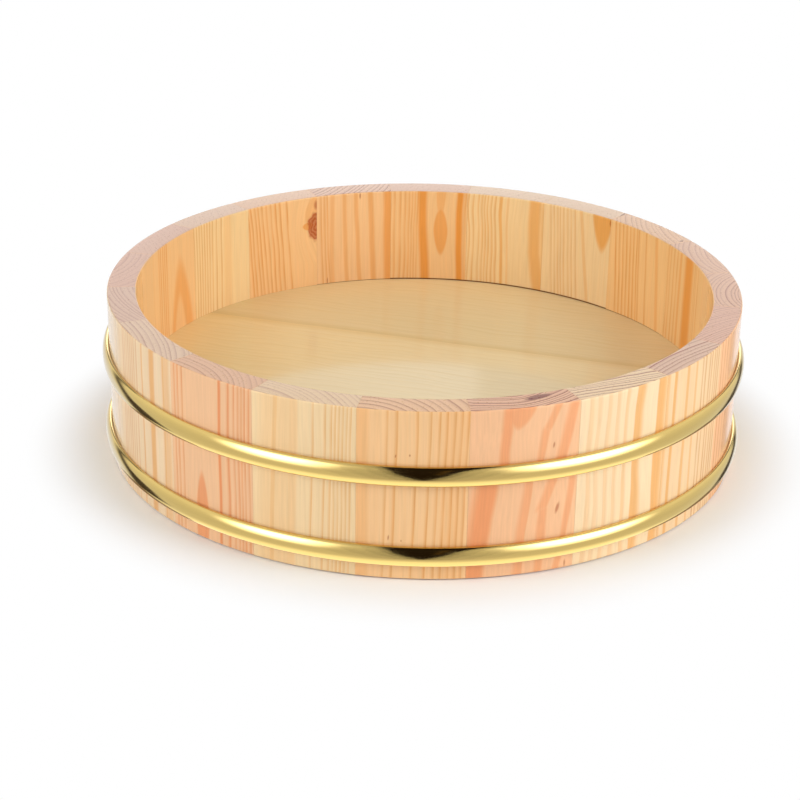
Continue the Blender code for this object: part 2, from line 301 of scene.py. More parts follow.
# Anticlockwise from the front stave. Lines are the places of single growth lines at LINES_AT_MM; streaks
# are (place at the rim, place at the foot, reach to the left, reach to the right, depth) and may end with
# the heights that they keep between; flames are (place, height, half width, half height, depth) and clear
# what is under them where the depth is negative; marks are (place, height, half width, half height, tilt
# in degrees), knots the same without the tilt; end marks are (to the right, into the tub, half length,
# half width, turn in degrees, depth) on the sawn end
PLANKS = (
    Plank("amber", (-21, -20), lines=(-9.5, -6, 1.6, 6.6, 10, 12.7, 15.6, 18.1, 20.5), lean=1.5, ring=3.2,
          shade=1.01, yellow=-0.06, line_depth=0.8, line_brown=0.3,
          streaks=((-19.0, -19.4, 3.4, 4.2, 0.3), (16, 15, 7, 7, 0.15)),
          marks=((-6.3, 51.5, 0.35, 0.9, 10), (-1, 52, 0.4, 0.7, 0), (-8.6, 17.3, 0.4, 1.4, 5),
                 (-3.7, 16.2, 0.3, 0.6, 0)),
          end_rings=0.8, end_warmth=0.68),
    Plank("rose", (-4, 34), wander=5, ring=1.9, rings=0.03, stain=0.08,
          streaks=((-7, -10.5, 3.6, 3, 0.6, 44, 80), (12.5, -14.1, 2.9, 2, 0.5, 60, 80),
                   (10, 0.9, 3.4, 1.6, 0.5, 43, 62), (19.5, 8.4, 4.5, 2.2, 0.55, 43, 80),
                   (25.6, -3.1, 4.5, 2.2, 0.5, 26, 43), (9.8, 6.9, 3, 2.4, 0.5, -10, 28),
                   (24.5, 14.7, 2.4, 1.8, 0.5, -10, 43), (5.5, -0.7, 5, 1, 0.5, -10, 43),
                   (-10.5, -17.2, 9, 4, 0.7, -10, 43)),
          flames=((-3, 74, 8, 14, 0.55),),
          marks=((13.8, 26.5, 0.9, 3, 14), (11.2, 53.3, 0.5, 1.6, 8), (18.2, 2, 0.5, 2, 0)),
          end_rings=1.8, end_warmth=0.65,
          end_marks=((6.8, 2.4, 7.2, 2.2, 15, 0.8), (3.6, 1.3, 1.3, 1, 0, 1))),
    Plank("cream", (19, 98), wander=6, ring=1.9, rings=0.04, shade=0.96,
          streaks=((-17.6, -17.6, 0.7, 2.6, 0.3), (-14, -14, 0.7, 2.4, 0.25), (-9.2, -9.6, 0.7, 2.6, 0.3),
                   (-4.6, -4.6, 0.7, 2.6, 0.3), (0.4, 0.4, 0.7, 2.2, 0.38), (6, 5.2, 1, 5, 0.75),
                   (17.6, 16, 1.2, 6.5, 0.8)),
          end_rings=1.3, end_warmth=0.95),
    Plank("cream", (-16, -149), lines=(4.5, 7, 10.5, 12.5, 15, 17, 19), line_depth=1.0, line_brown=1.0,
          stain=0.18, shade=0.93,
          streaks=((-20.8, -21.3, 0.9, 3.2, 0.6), (-15.7, -16.2, 0.9, 2.0, 0.8), (-7, -7.5, 1.4, 1.6, 0.7),
                   (-1, -1, 1.1, 1.4, 0.6)),
          end_rings=1.2, end_warmth=0.4),
    Plank("rose", (-46, -66), ring=1.5, lines=(-18.6, -15.2, -11.8, -8), line_depth=1.0, stain=0.1,
          line_brown=1.0, end_rings=0.8, end_warmth=0.35),
    Plank("amber", (-8, -30), "inside", ring=1.8, rings=0.2, end_rings=0.9, end_warmth=0.35),
    Plank("amber", (-8, -44), "inside", lines=(20, 18, 15, 12, -9, -11, -14), wander=3,
          streaks=((8.5, 8.5, 1.5, 1.2, 0.5), (-1.1, -1.6, 7, 6.6, 0.85)),
          yellow=0.06, end_rings=0.7, end_warmth=0.35),
    Plank("amber", (-31, -51), "inside", lines=(18, 15.5, 13, 10.5, 8, 5.5, 3, 1.5, -4), lean=4,
          shade=1.03, yellow=0.06, line_depth=0.95, streaks=((-11.5, -18, 1.6, 1.6, 0.4),),
          end_rings=0.5, end_warmth=0.5, end_marks=((-19.5, 0, 0.8, 1.2, 0, 0.9),)),
    Plank("cream", (60, -50), "inside", lines=(15.2, 13.2, 11.2, 9.7, 7.7, 5.2, 3.2, 0.7), lean=4,
          line_depth=0.55, line_brown=0.5, shade=0.97, stain=0.1, yellow=0.1,
          streaks=((-1.8, -10.8, 1.4, 1.4, 0.45),), flames=((-14.9, 77, 7, 27, 0.9),),
          marks=((-19.7, 68, 0.7, 2, 0),), end_rings=0.15, end_warmth=0.5,
          end_marks=((-19.1, 0, 0.7, 6, 8, 0.8),)),
    Plank("cream", (60, -50), "inside", lines=(21.5, 19.5, 17, 14, 12, 10.5, 9, 7, 5), line_depth=0.75,
          wander=6, shade=0.97, stain=0.12, yellow=0.12,
          streaks=((2.7, 1.5, 1.1, 1.1, 0.75), (-0.8, -1.5, 1, 1, 0.4), (-20.5, -20.5, 4.5, 3, 0.5),
                   (-15.4, -15.4, 4.6, 4.4, 0.75, 42, 80), (-11.6, -21.9, 4.6, 4.4, 0.75, -10, 46)),
          end_rings=0.15, end_warmth=0.5),
    Plank("amber", (60, -50), "inside", lines=(18, 15, 12.5, 10.5, 9, 7.5, 6, -19.3), wander=4, shade=0.98,
          streaks=((4, 0.3, 3.4, 3, 0.85), (-16, -16.5, 2.4, 2.4, 0.9)),
          flames=((-6.3, 50.5, 3.5, 12.5, 0.65), (-6.2, 74, 2.6, 20, 0.4)), end_rings=0.1, end_warmth=0.3),
    Plank("amber", (60, -50), "inside", lines=(17, 15, 13.5), lean=3, wander=3, yellow=-0.06,
          streaks=((11.5, 11, 1.6, 1.6, 0.35), (5, 2, 1.5, 1.5, 0.42), (-1.3, -5.5, 1.5, 1.5, 0.45),
                   (-8.7, -13, 1.8, 1.8, 0.5), (-17.5, -19, 3, 3, 0.7)),
          marks=((-3.5, 68.5, 0.5, 2, 0), (14, 28, 0.4, 2, 0)), end_rings=1.0, end_warmth=0.4),
    Plank("amber", (60, -50), "inside", lines=(19, 17, 14.5, 12.5, 10, 7.5, 5, 2.5, 0, -4), lean=5,
          shade=1.03, wander=3, line_depth=0.95,
          flames=((-21, 64, 4, 9, 0.3), (-20.3, 56.5, 4.2, 2.2, 0.7)), marks=((-19.6, 66, 1.5, 3, 0),),
          knots=((-19.6, 55.5, 5.6, 9.2),), end_rings=0.1, end_warmth=0.45),
    Plank("cream", (60, -50), "inside", lines=(19, 17, 15, 13, 11, 9, 7, 5, 2, -1.5), line_depth=0.7,
          line_brown=0.6, shade=1.01, stain=0.08, yellow=0.13, streaks=((-5.5, -5.5, 4, 4, 0.3),),
          end_rings=0.1, end_warmth=0.3),
    Plank("amber", (60, -50), "inside", lines=(13, 11, 8.5, 6.5, 4.5), line_depth=0.9, shade=1.03,
          flames=((-8.5, 10, 11, 54, 0.55), (-7, 10, 6.5, 36, -0.75)), end_rings=0.15),
    Plank("amber", (-15, -42), "inside", ring=2.6, end_rings=0.4),
    Plank("cream", (-20, 80), ring=1.9, rings=0.2, shade=0.83, yellow=-0.05, end_rings=0.75,
          end_warmth=0.4),
    Plank("cream", (-30, -110), lines=(-18, -16, -14, -12, -10, -8, -6, -3.5), line_brown=0.7,
          shade=0.87, yellow=-0.05,
          streaks=((9, 9, 2.7, 2.9, 0.7), (19.2, 19.2, 3.8, 4, 0.45), (17.6, 17.6, 0.8, 0.9, 0.65),
                   (1.2, 1.2, 0.8, 0.9, 0.6)),
          end_rings=0.65, end_warmth=0.65),
    Plank("rose", (-16, -36), lines=(-18.5, -16.5, -14, 10, 13, 15, 16.5, 18, 20), line_depth=0.9,
          shade=0.91, rings=0.0, streaks=((5.6, 5.6, 0.9, 1.1, 0.8), (10.2, 10.2, 0.6, 0.7, 0.5)),
          flames=((-4, 8, 3.8, 23, 0.65),), end_rings=0.55, end_warmth=0.7),
    Plank("cream", (-25, -42), lines=(4.5, 9.5, 12, 13.5, 15, 16.5, 18, 19.5), lean=1.5, shade=0.93,
          stain=0.06, yellow=0.06,
          streaks=((-10.5, -11.5, 12, 12, 0.28), (-11, -13, 1.7, 1.7, 0.5), (-3.5, -5, 3, 3, 0.35)),
          end_rings=0.5, end_warmth=0.7),
)

# Latewood darkens slowly towards its line and stops sharply after it
LINE_RISE_MM = 1.3
LINE_EDGE_MM = 0.3
LINE_CURVE = 1.4
LINE_FAINT = 0.05
LINE_FULL = 0.95

# The height at which the places of single lines are given, and what is kept free beside the outer ones
LINES_AT_MM = 55
LINE_MARGIN_MM = 3

# A streak is full over this share of its reach, and its ends fade over this length to each side
STREAK_CORE = 0.3
STREAK_FADE_MM = 2

# How round a flame's outline is, where 2 makes it an ellipse and less makes its tips pointed, and how far
# out it is full
FLAME_ROUND = 1.65
FLAME_CORE = 0.65

# The reach of a mark that goes right through a plank
THROUGH_MM = 1000

# A knot turns the grain round it over this many times its own width and height, and pushes it aside
SWIRL_WIDE = 2.6
SWIRL_HIGH = 2.0
SWIRL_PUSH_MM = -7
KNOT_DEPTH_MM = 30
KNOT_RAGGED_MM = 2.5
KNOT_RINGS = 26.0

# Painted shade on the lip of the open groove: place from mid-wall, how deep it reaches, how many gaps up
LIP_PLACE_MM = 7
LIP_DEPTH_MM = 8
LIP_GAPS = 1.6

# A face turns from side to sawn end while its normal's upright part grows from the first to the second,
# and a mark on the end reaches this far down
END_FROM = 0.75
END_TO = 0.93
END_MARK_MM = 8

# Satin lacquer turns glossy, to this roughness, between these views of it: 0 is straight on, 1 is edge on
GLANCING_FROM = 0.76
GLANCING_TO = 0.85
GLANCING_ROUGH = 0.12

# Keeps the grain of one plank apart from the next
SEED_STEP = 7.31


def face_point(plank, place, z_mm):
    """Where a place on the seen face lies in the plank's own frame, in mm."""
    angle = place * MM / outer_radius(HEIGHT)
    radius = outer_radius(z_mm * MM) if plank.seen == "outside" else inner_radius(z_mm * MM)
    return Vector((radius * math.sin(angle) / MM, (middle_radius() - radius * math.cos(angle)) / MM, z_mm))


def spot(tree, place, centre, size, turn=(0, 0, 0)):
    """A soft ellipsoid as a mask: 1 at its centre and 0 at its skin."""
    turned = [math.radians(angle) for angle in turn]
    fitted = add(tree, "Mapping", {
        "Vector": place, "Location": centre, "Scale": size, "Rotation": turned}, vector_type="TEXTURE")
    return add(tree, "TexGradient", {"Vector": fitted}, out="Fac", gradient_type="SPHERICAL")


def growth_lines(tree, plank, place):
    """The plank's single growth lines as a mask."""
    side = math.copysign(1, -plank.pith[0])
    slope = plank.lean / HEIGHT_MM
    across = add(tree, "VectorMath", {0: place, 1: (side, 0, -side * slope)}, out="Value",
                 operation="DOT_PRODUCT")
    levels = sorted((face_point(plank, line, LINES_AT_MM).x - slope * LINES_AT_MM) * side
                    for line in plank.lines)
    nearest = levels[0] - LINE_MARGIN_MM
    reach = levels[-1] + LINE_MARGIN_MM - nearest
    share = add(tree, "MapRange", {"Value": across, 1: nearest, 2: nearest + reach})
    ramp = add(tree, "ValToRGB", {0: share})
    stops = ramp.node.color_ramp.elements
    for stop in stops:
        stop.color = grey(LINE_FAINT)
    before = nearest
    for level in levels:
        if level - LINE_RISE_MM > before:
            stops.new((level - LINE_RISE_MM - nearest) / reach).color = grey(LINE_FAINT)
        stops.new((level - nearest) / reach).color = grey(LINE_FULL)
        before = level + LINE_EDGE_MM
        stops.new((before - nearest) / reach).color = grey(LINE_FAINT)
    return add(tree, "Math", {0: ramp, 1: LINE_CURVE}, operation="POWER")


def streak(tree, plank, place, top, bottom, left, right, span):
    """A stripe from a place at the rim to one at the foot as a mask, kept between two heights if given."""
    start = face_point(plank, bottom, 0).x
    slope = (face_point(plank, top, HEIGHT_MM).x - start) / HEIGHT_MM
    along = add(tree, "VectorMath", {0: place, 1: (1, 0, -slope)}, out="Value", operation="DOT_PRODUCT")
    across = add(tree, "Math", {0: along, 1: start}, operation="SUBTRACT")
    limits = [(across, -left, -left * STREAK_CORE), (across, right, right * STREAK_CORE)]
    if span:
        height = add(tree, "SeparateXYZ", {0: place}, out="Z")
        limits += [(height, span[0] - STREAK_FADE_MM, span[0] + STREAK_FADE_MM),
                   (height, span[1] + STREAK_FADE_MM, span[1] - STREAK_FADE_MM)]
    mask = 1.0
    for value, none, full in limits:
        inside = add(tree, "MapRange", {"Value": value, 1: none, 2: full},
                     interpolation_type="SMOOTHSTEP")
        mask = add(tree, "Math", {0: mask, 1: inside}, operation="MULTIPLY")
    return mask


def flame(tree, place, centre, half_wide, half_high):
    """The tip of a cut growth ring as a mask: a tall shape with pointed ends."""
    fitted = add(tree, "Mapping", {
        "Vector": place, "Location": centre, "Scale": (half_wide, THROUGH_MM, half_high)},
        vector_type="TEXTURE")
    parts = add(tree, "SeparateXYZ", {0: fitted}).node.outputs
    away = 0.0
    for part in (parts["X"], parts["Z"]):
        part = add(tree, "Math", {0: part}, operation="ABSOLUTE")
        part = add(tree, "Math", {0: part, 1: FLAME_ROUND}, operation="POWER")
        away = add(tree, "Math", {0: part, 1: away}, operation="ADD")
    return add(tree, "MapRange", {"Value": away, 1: 1.0, 2: FLAME_CORE},
               interpolation_type="SMOOTHSTEP")


def pine(number, plank, gap, rings):
    """Planed pine under satin lacquer: pale early wood, orange growth lines with one sharp side, fine
    fibres. The same rings show on the faces and on the sanded end, which is greyer and a little smoother,
    and brown painted shade darkens the lip of the groove where it stands open. Seen almost edge on, the
    satin lacquer mirrors like a glossy one."""
    material, tree, surface = new_material(f"planed_pine_{number + 1:02d}")
    tints = colours()
    shade = Vector((plank.shade, plank.shade, plank.shade * (1 - plank.yellow)))
    pale = rgba(shade * Vector(getattr(tints, plank.tone + "_pale")))
    deep = rgba(shade * Vector(getattr(tints, plank.tone + "_deep")))
    dark = rgba(tints.knot)
    place = place_in_mm(tree)
    pushed = place
    for at, z_mm, half_wide, half_high in plank.knots:
        swirl = spot(tree, place, face_point(plank, at, z_mm),
                     (half_wide * SWIRL_WIDE, KNOT_DEPTH_MM, half_high * SWIRL_HIGH))
        pushed = add(tree, "VectorMath", {0: swirl, 1: (SWIRL_PUSH_MM, 0, 0), 2: pushed},
                     operation="MULTIPLY_ADD")
    grain = add(tree, "Group", {
        "Place": pushed, "Pith": (*plank.pith, 0), "Ring": plank.ring, "Wander": plank.wander,
        "Seed": number * SEED_STEP}, node_tree=rings).node.outputs
    depth = add(tree, "Math", {0: grain["Line"], 1: plank.rings, 2: plank.stain},
                operation="MULTIPLY_ADD")
    masks = [(streak(tree, plank, grain["Place"], top, bottom, left, right, span), level)
             for top, bottom, left, right, level, *span in plank.streaks]
    masks += [(flame(tree, grain["Place"], face_point(plank, at, z_mm), half_wide, half_high), level)
              for at, z_mm, half_wide, half_high, level in plank.flames]
    for mask, level in masks:
        if level < 0:
            kept = add(tree, "Math", {0: mask, 1: level, 2: 1.0}, operation="MULTIPLY_ADD")
            depth = add(tree, "Math", {0: depth, 1: kept}, operation="MULTIPLY")
        else:
            more = add(tree, "Math", {0: mask, 1: level}, operation="MULTIPLY")
            depth = add(tree, "Math", {0: depth, 1: more}, operation="MAXIMUM")
    tint = add(tree, "Mix", {0: depth, 6: pale, 7: deep}, 2, data_type="RGBA")
    relief = depth
    if plank.lines:
        lines = growth_lines(tree, plank, grain["Place"])
        lines = add(tree, "Math", {0: lines, 1: grain["Fade"]}, operation="MULTIPLY")
        lines = add(tree, "Math", {0: lines, 1: plank.line_depth}, operation="MULTIPLY")
        brown = rgba(Vector(deep).lerp(rgba(tints.growth_line), plank.line_brown))
        tint = add(tree, "Mix", {0: lines, 6: tint, 7: brown}, 2, data_type="RGBA")
        relief = add(tree, "Math", {0: depth, 1: lines}, operation="MAXIMUM")
    fibre = add(tree, "MapRange", {"Value": grain["Fibre"], 1: 0.25, 2: 0.75, 3: 0.94, 4: 1.05})
    tint = add(tree, "Mix", {0: 1.0, 6: tint, 7: fibre}, 2, data_type="RGBA", blend_type="MULTIPLY")
    for at, z_mm, half_wide, half_high, tilt in plank.marks:
        mark = spot(tree, place, face_point(plank, at, z_mm), (half_wide, THROUGH_MM, half_high),
                    (0, tilt, 0))
        mark = add(tree, "MapRange", {"Value": mark, 1: 0.0, 2: 0.6, 3: 0.0, 4: 0.65})
        tint = add(tree, "Mix", {0: mark, 6: tint, 7: dark}, 2, data_type="RGBA")
    for at, z_mm, half_wide, half_high in plank.knots:
        knot = spot(tree, place, face_point(plank, at, z_mm), (half_wide, KNOT_DEPTH_MM, half_high))
        ragged = add(tree, "TexNoise", {"Vector": place, "Scale": 1 / KNOT_RAGGED_MM, "Detail": 2.0})
        knot = add(tree, "Math", {0: ragged, 1: 0.4, 2: knot}, operation="MULTIPLY_ADD")
        turns = add(tree, "Math", {0: knot, 1: KNOT_RINGS}, operation="MULTIPLY")
        turns = add(tree, "Math", {0: turns}, operation="SINE")
        turns = add(tree, "MapRange", {"Value": turns, 1: -1.0, 2: 1.0, 3: 0.75, 4: 1.0})
        knot = add(tree, "MapRange", {"Value": knot, 1: 0.33, 2: 0.6}, interpolation_type="SMOOTHSTEP")
        knot = add(tree, "Math", {0: knot, 1: turns}, operation="MULTIPLY")
        tint = add(tree, "Mix", {0: knot, 6: tint, 7: dark}, 2, data_type="RGBA")
    # Painted shade: the stave's lip darkens where the groove stands open above the base
    lip = (0, LIP_PLACE_MM, (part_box("base_board_middle")[1][2] + gap) / MM)
    lip_shade = spot(tree, place, lip, (THROUGH_MM, LIP_DEPTH_MM, LIP_GAPS * gap / MM))
    lip_shade = add(tree, "MapRange", {"Value": lip_shade, 1: 0.0, 2: 0.6, 3: 0.0, 4: 0.85})
    tint = add(tree, "Mix", {0: lip_shade, 6: tint, 7: rgba(tints.groove)}, 2, data_type="RGBA")
    end_pale = rgba(Vector(rgba(tints.end_grain)).lerp(pale, plank.end_warmth))
    end_dark, end_knot = rgba(tints.end_line), rgba(tints.end_knot)
    end_line = add(tree, "Math", {0: grain["Line"], 1: plank.end_rings}, operation="MULTIPLY")
    end_tint = add(tree, "Mix", {0: end_line, 6: end_pale, 7: end_dark}, 2, data_type="RGBA")
    for at, into, half_long, half_wide, turn, level in plank.end_marks:
        mark = spot(tree, place, (at, into, HEIGHT_MM), (half_long, half_wide, END_MARK_MM), (0, 0, turn))
        mark = add(tree, "MapRange", {"Value": mark, 1: 0.05, 2: 0.45, 3: 0.0, 4: level})
        end_tint = add(tree, "Mix", {0: mark, 6: end_tint, 7: end_knot}, 2, data_type="RGBA")
    up = add(tree, "NewGeometry", out="Normal")
    up = add(tree, "SeparateXYZ", {0: up}, out="Z")
    up = add(tree, "Math", {0: up}, operation="ABSOLUTE")
    end = add(tree, "MapRange", {"Value": up, 1: END_FROM, 2: END_TO}, interpolation_type="SMOOTHSTEP")
    tint = add(tree, "Mix", {0: end, 6: tint, 7: end_tint}, 2, data_type="RGBA")
    rough = add(tree, "MapRange", {"Value": grain["Fibre"], 1: 0.3, 2: 0.7, 3: 0.36, 4: 0.44})
    rough = add(tree, "Math", {0: end, 1: -0.1, 2: rough}, operation="MULTIPLY_ADD")
    glancing = add(tree, "LayerWeight", {"Blend": 0.5}, out="Facing")
    glancing = add(tree, "MapRange", {"Value": glancing, 1: GLANCING_FROM, 2: GLANCING_TO})
    rough = add(tree, "Mix", {0: glancing, 2: rough, 3: GLANCING_ROUGH})
    relief = add(tree, "Math", {0: grain["Fibre"], 1: 0.6, 2: relief}, operation="MULTIPLY_ADD")
    bump = add(tree, "Bump", {"Height": relief, "Strength": 0.3, "Distance": 0.02 * MM})
    wood = add(tree, "BsdfPrincipled", {"Base Color": tint, "Roughness": rough, "Normal": bump})
    tree.links.new(wood, surface)
    return material


# Rings of the base boards: their middle, how far apart they are, how far they wander, how dark they are,
# and where their pattern starts from board to board
BASE_PITH_MM = (-260, -60, 0)
BASE_RING_MM = 3.6
BASE_WANDER_MM = 9.0
BASE_RINGS = 0.25
BASE_SEED = 50
BASE_SEED_STEP = 3.7

# The darker edge along a joint, between these distances from it in mm
EDGE_GONE_MM = 6.5
EDGE_FULL_MM = 0.5
EDGE_DEPTH = 0.4

# A board's tint goes from its left one to its right one between these places along it
LEFT_TINT_MM = -110.0
RIGHT_TINT_MM = 40.0

# Painted shade on the base where the groove stands open, from short of the wall to under it
GAP_SHADE_FROM_MM = -0.15
GAP_SHADE_TO_MM = 0.05
GAP_SHADE_DEPTH = 0.9


def lacquered_base(name, turn, joint, ends, seed, rings):
    """Pine boards under several coats of clear lacquer: pale straight grain below a smooth, glossy skin.

    The grain gathers into a darker edge along the joints, and brown painted shade lies along the wall
    where the groove stands open.
    """
    material, tree, surface = new_material(name)
    tints = colours()
    metres = add(tree, "TexCoord", out="Object")
    turned = add(tree, "Mapping", {
        "Vector": metres, "Rotation": (0, 0, -turn), "Scale": (1 / MM, 1 / MM, 1 / MM)})
    parts = add(tree, "SeparateXYZ", {0: turned}).node.outputs
    place = add(tree, "CombineXYZ", {0: parts[1], 1: parts[2], 2: parts[0]})
    grain = add(tree, "Group", {
        "Place": place, "Pith": BASE_PITH_MM, "Ring": BASE_RING_MM, "Wander": BASE_WANDER_MM,
        "Seed": seed}, node_tree=rings).node.outputs
    depth = add(tree, "Math", {0: grain["Line"], 1: grain["Fade"]}, operation="MULTIPLY")
    depth = add(tree, "Math", {0: depth, 1: BASE_RINGS}, operation="MULTIPLY")
    across = add(tree, "Math", {0: parts[1]}, operation="ABSOLUTE")
    across = add(tree, "Math", {0: across, 1: joint / MM}, operation="SUBTRACT")
    across = add(tree, "Math", {0: across}, operation="ABSOLUTE")
    edge = add(tree, "MapRange", {
        "Value": across, 1: EDGE_GONE_MM, 2: EDGE_FULL_MM, 3: 0.0, 4: EDGE_DEPTH},
        interpolation_type="SMOOTHSTEP")
    depth = add(tree, "Math", {0: depth, 1: edge}, operation="MAXIMUM")
    pale, deep = rgba(tints.base_pale), rgba(tints.base_deep)
    tint = add(tree, "Mix", {0: depth, 6: pale, 7: deep}, 2, data_type="RGBA")
    along = add(tree, "MapRange", {"Value": parts[0], 1: LEFT_TINT_MM, 2: RIGHT_TINT_MM})
    left, right = (rgba(linear(code)) for code in ends)
    cast = add(tree, "Mix", {0: along, 6: left, 7: right}, 2, data_type="RGBA")
    tint = add(tree, "Mix", {0: 1.0, 6: tint, 7: cast}, 2, data_type="RGBA", blend_type="MULTIPLY")
    fibre = add(tree, "MapRange", {"Value": grain["Fibre"], 1: 0.25, 2: 0.75, 3: 0.96, 4: 1.03})
    tint = add(tree, "Mix", {0: 1.0, 6: tint, 7: fibre}, 2, data_type="RGBA", blend_type="MULTIPLY")
    # Painted shade along the wall where the groove stands open, strongest towards the open side
    level = add(tree, "VectorMath", {0: turned, 1: (1, 1, 0)}, operation="MULTIPLY")
    out = add(tree, "VectorMath", {0: level}, out="Value", operation="LENGTH")
    wall = inner_radius(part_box("base_board_middle")[1][2]) / MM
    gap_shade = add(tree, "MapRange", {
        "Value": out, 1: wall + GAP_SHADE_FROM_MM, 2: wall + GAP_SHADE_TO_MM, 3: 0.0, 4: GAP_SHADE_DEPTH})
    open_way = (math.cos(GAP_MIDDLE), math.sin(GAP_MIDDLE), 0)
    towards = add(tree, "VectorMath", {0: metres, 1: open_way}, out="Value", operation="DOT_PRODUCT")
    towards = add(tree, "Math", {0: towards, 1: wall * MM}, operation="DIVIDE")
    widening = add(tree, "MapRange", {
        "Value": towards, 1: math.cos(GAP_REACH), 2: math.cos(GAP_REACH - GAP_RISE)})
    gap_shade = add(tree, "Math", {0: gap_shade, 1: widening}, operation="MULTIPLY")
    tint = add(tree, "Mix", {0: gap_shade, 6: tint, 7: rgba(tints.groove)}, 2, data_type="RGBA")
    bump = add(tree, "Bump", {"Height": grain["Fibre"], "Strength": 0.1, "Distance": 0.01 * MM})
    wood = add(tree, "BsdfPrincipled", {"Base Color": tint, "Roughness": 0.1, "Normal": bump})
    tree.links.new(wood, surface)
    return material


# Sizes on the brass in mm: waves from rolling, and buffing lines (twice across, once up), which are this
# bright beside the rest
ROLLING_MM = 18
BUFFING_MM = (9, 9, 0.4)
BUFFED_DULL = 0.93


def polished_brass():
    """Rolled and buffed brass under clear lacquer: a warm mirror, a little wavy from rolling, with fine
    buffing lines round it and a white shine on top."""
    material, tree, surface = new_material("polished_brass")
    bright = colours().brass
    place = place_in_mm(tree)
    wave = add(tree, "TexNoise", {"Vector": place, "Scale": 1 / ROLLING_MM, "Detail": 1.0})
    scuff_at = add(tree, "VectorMath", {0: place, 1: BUFFING_MM}, operation="DIVIDE")
    scuff = add(tree, "TexNoise", {"Vector": scuff_at, "Scale": 1.0, "Detail": 3.0})
    dull = rgba([part * BUFFED_DULL for part in bright])
    tint = add(tree, "Mix", {0: scuff, 6: rgba(bright), 7: dull}, 2, data_type="RGBA")
    rough = add(tree, "MapRange", {"Value": scuff, 1: 0.3, 2: 0.8, 3: 0.07, 4: 0.14})
    bump = add(tree, "Bump", {"Height": wave, "Strength": 0.5, "Distance": 0.05 * MM})
    brass = add(tree, "BsdfPrincipled", {
        "Base Color": tint, "Metallic": 1.0, "Roughness": rough, "Normal": bump, "Coat Weight": 0.45,
        "Coat Roughness": 0.15})
    tree.links.new(brass, surface)
    return material


BAMBOO_FIBRE_MM = 0.5


def split_bamboo():
    """Split and shaved bamboo: straw-coloured, with darker fibres along the pin."""
    material, tree, surface = new_material("split_bamboo")
    place = place_in_mm(tree)
    fibre = add(tree, "TexNoise", {"Vector": place, "Scale": 1 / BAMBOO_FIBRE_MM, "Detail": 3.0})
    shade = add(tree, "MapRange", {"Value": fibre, 1: 0.3, 2: 0.7, 3: 0.7, 4: 1.05})
    tint = add(tree, "Mix", {0: 1.0, 6: rgba(colours().bamboo), 7: shade}, 2, data_type="RGBA",
               blend_type="MULTIPLY")
    bamboo = add(tree, "BsdfPrincipled", {"Base Color": tint, "Roughness": 0.6})
    tree.links.new(bamboo, surface)
    return material


# Shapes

# How finely the curves are cut: a rounded corner, a stave across, a hoop's front, its rolled edge and its
# way round in steps, a stave's section by its longest side, and a base board by the angle of one step
CORNER_STEPS = 4
STAVE_STEPS = 24
HOOP_STEPS = 24
HOOP_EDGE_STEPS = 6
HOOP_AROUND = 360
LONGEST_SIDE = 6 * MM
BOARD_STEP = math.radians(1.5)

# Edges are shaded as sharp from the first angle up, and broken from the second
SHARP_FROM = math.radians(40)
BROKEN_FROM = math.radians(50)

# Radius of the edges of the groove
LIP_ROUND = 0.1 * MM


def rounded(corners):
    """A closed outline of (radius, height, bend) corners, each turned into an arc of its own bend."""
    points = []
    count = len(corners)
    for index, (r, z, bend) in enumerate(corners):
        here = Vector((r, z))
        before = Vector(corners[index - 1][:2]) - here
        after = Vector(corners[(index + 1) % count][:2]) - here
        if not bend:
            points.append(here)
            continue
        half = before.angle(after) / 2
        reach = bend / math.tan(half)
        start = here + before.normalized() * reach
        end = here + after.normalized() * reach
        centre = here + (before.normalized() + after.normalized()).normalized() * bend / math.sin(half)
        sweep = (start - centre).angle_signed(end - centre)
        for step in range(CORNER_STEPS + 1):
            turn = Matrix.Rotation(-sweep * step / CORNER_STEPS, 2)
            points.append(centre + turn @ (start - centre))
    return points


def subdivided(points, longest):
    """The outline with points added so that no side is longer than the given length."""
    result = []
    for index, point in enumerate(points):
        following = points[(index + 1) % len(points)]
        parts = max(1, math.ceil((following - point).length / longest))
        result += [point.lerp(following, part / parts) for part in range(parts)]
    return result


def link_piece(name, mesh, material):
    """Put a mesh with its material in the scene."""
    mesh.materials.append(material)
    piece = bpy.data.objects.new(name, mesh)
    bpy.context.scene.collection.objects.link(piece)
    return piece


def mesh_from(name, bm):
    mesh = bpy.data.meshes.new(name)
    bm.to_mesh(mesh)
    bm.free()
    return mesh


def skin(name, outlines, ring=False):
    """A smooth mesh over outlines in a row: a closed ring, or else a body with its two ends filled."""
    bm = bmesh.new()
    rows = [[bm.verts.new(point) for point in outline] for outline in outlines]
    joined = [rows[-1], *rows] if ring else rows
    for row, following in zip(joined, joined[1:]):
        for index in range(len(row)):
            bm.faces.new((row[index - 1], row[index], following[index], following[index - 1]))
    if not ring:
        bm.faces.new(rows[0])
        bm.faces.new(rows[-1])
    bmesh.ops.recalc_face_normals(bm, faces=bm.faces)
    mesh = mesh_from(name, bm)
    mesh.shade_smooth()
    mesh.set_sharp_from_angle(angle=SHARP_FROM)
    return mesh


def groove_gap(angle):
    """Gap above the base at an angle round the tub: widest at the back, almost closed elsewhere."""
    share = (GAP_REACH - abs(angle - GAP_MIDDLE)) / GAP_RISE
    return sizes().groove_gap * min(1.0, max(GAP_LEAST, share))


